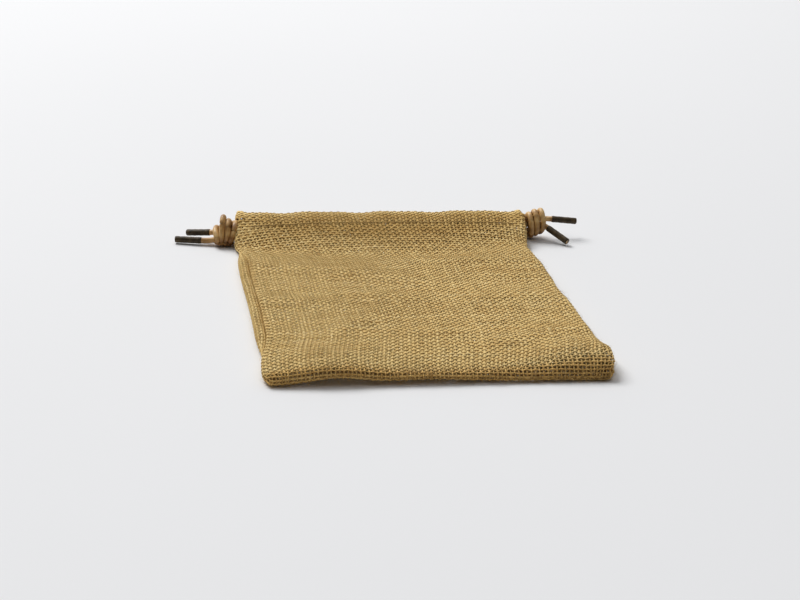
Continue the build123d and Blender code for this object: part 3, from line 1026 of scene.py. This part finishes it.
# Each turn of a knot, from the pouch outwards: how high it reaches and how low it comes.
KNOT_TURNS = {
    "left": [(12.0, 0.2), (13.6, 0.0), (15.7, 0.0), (9.4, 0.6)],
    "right": [(14.0, 0.2), (15.6, 0.4), (16.1, 2.2)],
}
KNOT_LEAN = {"left": [0.18, 0.05, 0.12, -0.03], "right": [0.13, 0.06, 0.09]}  # of each turn
KNOT_FORWARD = {"left": 2.4, "right": 0.8}
KNOT_HALF_DEPTH = 4.9
KNOT_WAIST = 9.0  # from the ground up to here the turns fan out
KNOT_FAN = (0.7, 1.06)
KNOT_MIDDLE_Z = 8.0
KNOT_PITCH = {"left": 2.95, "right": 2.85}
STEPS_PER_TURN = 36


def make_knot(lane):
    """The overhand knot of the doubled cord: its turns lie side by side round the cord."""
    side = -1 if lane == "left" else 1
    turns = KNOT_TURNS[lane]
    count = len(turns) * STEPS_PER_TURN
    phase = np.arange(count + 1) / STEPS_PER_TURN
    middle = np.arange(len(turns)) + 0.5
    high = np.interp(phase, middle, [t[0] for t in turns]) - CORD_DIA / 2
    low = np.interp(phase, middle, [t[1] for t in turns]) + CORD_DIA / 2
    angle = 2 * pi * phase - pi / 2
    z = (high + low) / 2 + np.sin(angle) * (high - low) / 2
    above = smooth(0, KNOT_WAIST, z)
    forward = KNOT_FORWARD[lane] * (2 - above)
    y = LANE_Y[lane] - forward + KNOT_HALF_DEPTH * np.cos(angle) * (1 - 0.12 * np.sin(angle))
    pitch = KNOT_PITCH[lane] * mix(*KNOT_FAN, above)
    lean = np.interp(phase, middle, KNOT_LEAN[lane]) * (z - KNOT_MIDDLE_Z)
    x = KNOT_X[lane] + side * pitch * (phase - len(turns) / 2) + lean + 0.25 * np.sin(2 * angle + 1)
    tubes = Tubes()
    line = np.stack([x, y, z], axis=-1)
    tubes.add(thread_rings(line, CORD_DIA / 2 * 1.02, 14), length_along(line), 0)
    return tubes.object(f"{lane}_knot_wraps", KNOT)


def declare_cord(lane):
    """Makes a cord with its knot and tips, puts it on its body and hides the CAD parts it stands for.
    """
    cord = make_cord(lane)
    line = centreline(cord)
    upper = make_tip(f"{lane}_upper_tip_sleeve", line)
    lower = make_tip(f"{lane}_lower_tip_sleeve", line[::-1])
    knot = make_knot(lane)
    body = f"{lane}_drawstring_loop"
    for piece in (cord, knot, upper, lower):
        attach(piece, body)
    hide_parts(f"{lane}_drawstring", f"{lane}_upper_tail", f"{lane}_lower_tail")
    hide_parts(f"{lane}_knot")
    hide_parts(f"{lane}_upper_cord_tip")
    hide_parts(f"{lane}_lower_cord_tip")


declare_cord("left")
declare_cord("right")


# -------- cloth pieces
HALVES = ("left", "right")
PLACES = ("bottom", "mouth")


def gathers(piece, half):
    """Bakes a cloth piece's place into its mesh."""
    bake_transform(piece)


def sewn_piece(name, tubes, half, *nodes):
    """A finished thread or cloth piece, with the CAD parts it stands for hidden."""
    thread = "allowance" not in name
    piece = tubes.object(name, THREAD if thread else JUTE)
    gathers(piece, half)
    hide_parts(*nodes)
    return piece


def make_seam(half, thread):
    """One side seam's turned-in edges and threads, and its half of the casing stitches."""
    side = -1 if half == "left" else 1
    strip, seam, bound, rows = Tubes(), Tubes(), Tubes(), Tubes()
    weave_allowance(side, strip, thread)
    seam_stitches(side, seam)
    overlock(side, bound)
    casing_stitches(half, rows)
    casings = ("front_casing_stitching", "back_casing_stitching")
    return [
        sewn_piece(f"{half}_seam_allowance_cloth", strip, half, f"{half}_seam_allowance"),
        sewn_piece(f"{half}_seam_thread", seam, half, f"{half}_seam_stitching"),
        sewn_piece(f"{half}_overlock_thread", bound, half, f"{half}_seam_overlock"),
        sewn_piece(f"{half}_casing_thread", rows, half, *casings),
    ]


def make_cloth():
    """The woven front and back, each in four pieces, with their seams and loose fibres."""
    made = {}
    fuzz = {half: Tubes() for half in HALVES}
    thread = 0
    for sheet in ("front", "back"):
        pieces = {f"{half}_{place}": Tubes() for half in HALVES for place in PLACES}
        thread, cloth = weave_sheet(sheet, pieces, thread)
        grow_fuzz(sheet, cloth, FIBRES[sheet], fuzz)
        for key, tubes in pieces.items():
            name = f"{sheet}_{key}_cloth"
            made[name] = tubes.object(name, JUTE)
            gathers(made[name], key.split("_")[0])
    extras = {half: make_seam(half, thread) for half in HALVES}
    for half in HALVES:
        fibres = fuzz[half].object(f"{half}_loose_fibres", FUZZ)
        gathers(fibres, half)
        extras[half].append(fibres)
    return made, extras


cloth, extras = make_cloth()
for name, piece in cloth.items():
    sheet, half, place, _ = name.split("_")
    nodes = [f"{sheet}_panel"]
    if place == "mouth":
        nodes += [f"{sheet}_casing", f"{half}_mouth_corner"]
    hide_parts(*nodes)
    on_it = extras[half] if sheet == "front" and place == "mouth" else []
    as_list(on_it)


# -------- floor and light
def make_floor():
    """A plain pale floor."""
    material, tree, shader = new_material("pale_floor", 0.8)
    shader.inputs["Specular IOR Level"].default_value = 0.1
    tone = noise_over(tree, Scale=1.2, Detail=2.0)
    colour = ramp(tree, tone, [(0.3, (0.80, 0.80, 0.805)), (0.7, (0.82, 0.82, 0.825))])
    tree.links.new(colour.outputs["Color"], shader.inputs["Base Color"])
    mesh = bpy.data.meshes.new("floor")
    reach = 6.0
    corners = [(-reach, -reach, 0), (reach, -reach, 0), (reach, reach, 0), (-reach, reach, 0)]
    mesh.from_pydata(corners, [], [(0, 1, 2, 3)])
    mesh.materials.append(material)
    new_object("floor", mesh)


def make_light(name, place, size, power):
    """A large soft lamp aimed at the middle of the pouch."""
    data = bpy.data.lights.new(name, "AREA")
    data.shape = "DISK"
    data.size = size
    data.energy = power
    lamp = new_object(name, data)
    lamp.location = place
    lamp.rotation_euler = (-Vector(place)).to_track_quat("-Z", "Y").to_euler()


SKY_UP = (0, 0.6, 1)  # the way in which the surroundings get brighter
SKY_DIM_AT = 0.3
SKY_BRIGHT_AT = 1.1


def make_world(strength, dim, seen):
    """Pale surroundings, bright above and behind and dim low in front, but seen evenly pale."""
    world = bpy.data.worlds.new("surroundings")
    world.use_nodes = True
    tree = world.node_tree
    sky = tree.nodes["Background"]
    sky.inputs["Color"].default_value = (0.97, 0.98, 1.0, 1)
    where = add(tree, "ShaderNodeTexCoord")
    height = add(tree, "ShaderNodeVectorMath", operation="DOT_PRODUCT")
    height.inputs[1].default_value = SKY_UP
    tree.links.new(where.outputs["Generated"], height.inputs[0])
    level = add(tree, "ShaderNodeMapRange")
    level.inputs["From Min"].default_value = SKY_DIM_AT
    level.inputs["From Max"].default_value = SKY_BRIGHT_AT
    level.inputs["To Min"].default_value = dim
    level.inputs["To Max"].default_value = strength
    tree.links.new(height.outputs["Value"], level.inputs["Value"])
    path = add(tree, "ShaderNodeLightPath")
    backdrop = calc(tree, "MULTIPLY", path.outputs["Is Camera Ray"], seen)
    either = calc(tree, "MAXIMUM", level.outputs["Result"], backdrop)
    tree.links.new(either, sky.inputs["Strength"])
    bpy.context.scene.world = world


make_floor()
make_light("key_light", place=(-1.3, 2.1, 2.9), size=2.4, power=121)
make_light("fill_light", place=(0.5, -0.8, 1.6), size=1.2, power=0.8)
make_world(strength=0.78, dim=0.03, seen=0.45)
bpy.context.scene.view_settings.view_transform = "Standard"
